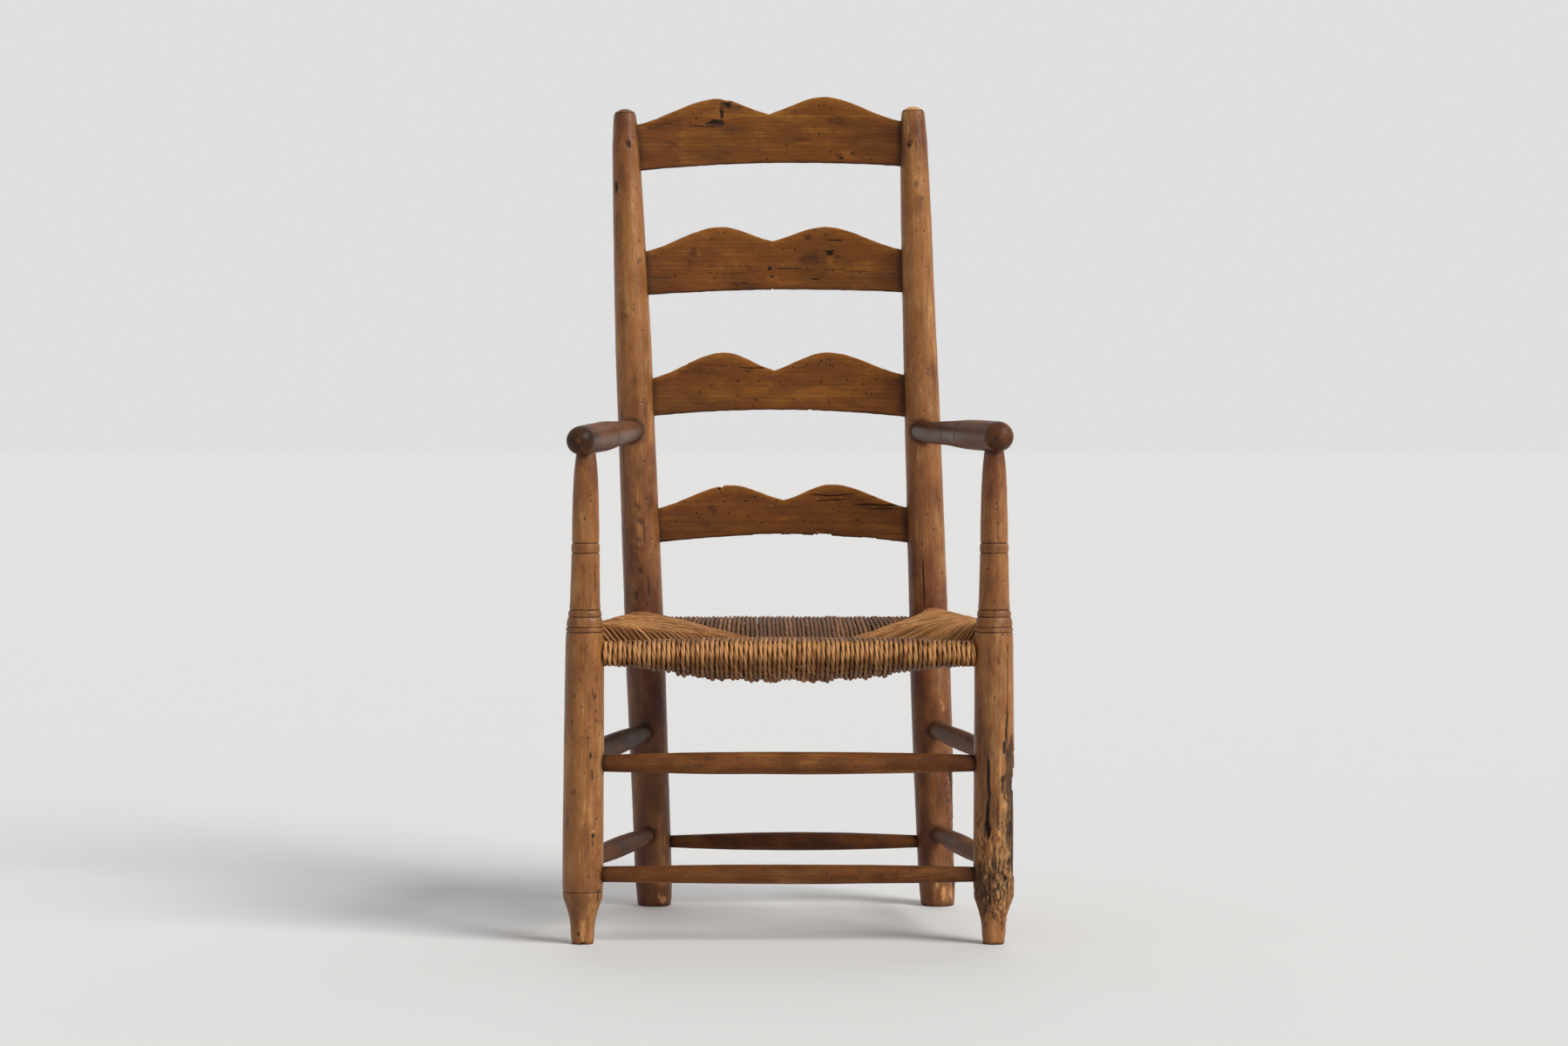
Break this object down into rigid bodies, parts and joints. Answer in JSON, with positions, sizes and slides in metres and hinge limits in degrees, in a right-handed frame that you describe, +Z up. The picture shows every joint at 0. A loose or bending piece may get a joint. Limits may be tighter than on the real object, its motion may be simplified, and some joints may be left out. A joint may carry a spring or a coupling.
{
  "type": "ladderback chair",
  "caption": "Old turned-wood ladderback armchair with shaped back slats, round arms resting on the front posts, turned stretchers and a woven rush seat.",
  "frame": {"origin": "on the floor, at the middle of the chair's outline seen from above", "axes": "+Z up, the chair faces -Y, +X to the right as seen from the front; the worn frame leans a little to -X at its top"},
  "size_m": [0.6044, 0.5165, 1.1698],
  "materials": {
    "post_wood": "turned ash or elm, old brown stain worn through, waxed, satin",
    "slat_wood": "sawn and shaved board, old brown stain, dull satin",
    "arm_wood": "turned, dark reddish brown stain polished by hands, satin",
    "stretcher_wood": "turned, brown stain, worn paler on top, satin",
    "rail_wood": "turned, unfinished, hidden under the rush",
    "peg_wood": "whittled peg, dark end grain",
    "rush_cord": "hand-twisted rush, dry and slightly glossy, aged to straw brown",
    "straw_stuffing": "loose dry straw and broken rush, matt"
  },
  "bodies": {
    "root": {"front_left_post": "post_wood", "front_right_post": "post_wood", "back_left_post": "post_wood", "back_right_post": "post_wood", "top_slat": "slat_wood", "second_slat": "slat_wood", "third_slat": "slat_wood", "fourth_slat": "slat_wood", "left_arm": "arm_wood", "right_arm": "arm_wood", "front_upper_stretcher": "stretcher_wood", "front_lower_stretcher": "stretcher_wood", "back_stretcher": "stretcher_wood", "left_upper_stretcher": "stretcher_wood", "right_upper_stretcher": "stretcher_wood", "left_lower_stretcher": "stretcher_wood", "right_lower_stretcher": "stretcher_wood", "front_seat_rail": "rail_wood", "back_seat_rail": "rail_wood", "left_seat_rail": "rail_wood", "right_seat_rail": "rail_wood", "slat_pegs": "peg_wood", "rush_front_panel": "rush_cord", "rush_back_panel": "rush_cord", "rush_left_panel": "rush_cord", "rush_right_panel": "rush_cord", "stuffing_front": "straw_stuffing", "stuffing_back": "straw_stuffing", "stuffing_left": "straw_stuffing", "stuffing_right": "straw_stuffing"}
  },
  "joints": []
}
